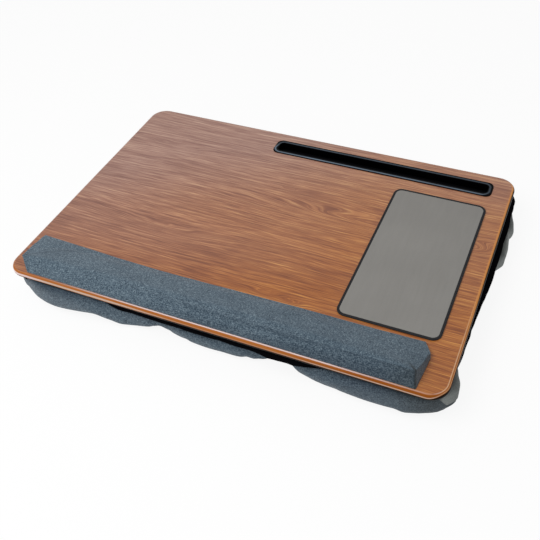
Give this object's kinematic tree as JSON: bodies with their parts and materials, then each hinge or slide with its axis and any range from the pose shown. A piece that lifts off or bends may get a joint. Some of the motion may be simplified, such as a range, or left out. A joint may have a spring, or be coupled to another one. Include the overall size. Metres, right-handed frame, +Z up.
{
  "type": "cushioned lap desk",
  "caption": "Flat wood-look desk board with a media slot, mouse pad and wrist rest, on a soft cushion with lobed bolsters, for use on the lap or a table.",
  "frame": {"origin": "on the surface that the bolsters stand on, below the centre of the whole object's footprint", "axes": "+X to the user's right along the board's length, +Y away from the user, +Z up out of the board's top"},
  "size_m": [0.626, 0.42, 0.0771],
  "materials": {
    "fibreboard": "raw medium-density fibreboard, seen only at cut edges",
    "wood_film": "satin reddish-brown wood-grain film, grain along the length",
    "backing": "black resin-paper balancing sheet",
    "tray_plastic": "black moulded plastic with a soft sheen on the rim",
    "adhesive": "double-sided adhesive sheet",
    "pad_rubber": "matte black rubber",
    "pad_face": "warm grey close-woven mouse pad cloth",
    "pad_binding": "black bound edge",
    "stiffener": "grey board",
    "foam": "off-white polyurethane foam",
    "grey_fabric": "blue-grey melange woven polyester",
    "end_fabric": "plain grey woven polyester",
    "black_fabric": "black close-woven polyester"
  },
  "bodies": {
    "root": {"board_core": "fibreboard", "wood_film": "wood_film", "backing_sheet": "backing", "slot_tray": "tray_plastic", "mouse_pad_adhesive": "adhesive", "mouse_pad_base": "pad_rubber", "mouse_pad_face": "pad_face", "mouse_pad_binding": "pad_binding", "wrist_rest_adhesive": "adhesive", "wrist_rest_base": "stiffener", "wrist_rest_foam": "foam", "wrist_rest_cover": "grey_fabric", "front_bolster_filling": "foam", "front_bolster_cover": "grey_fabric", "front_end_panels": "end_fabric", "rear_bolster_filling": "foam", "rear_bolster_cover": "grey_fabric", "rear_end_panels": "end_fabric", "cushion_top_panel": "black_fabric", "core_filling": "foam", "gusset_band": "black_fabric", "valley_panel": "black_fabric"}
  },
  "joints": []
}
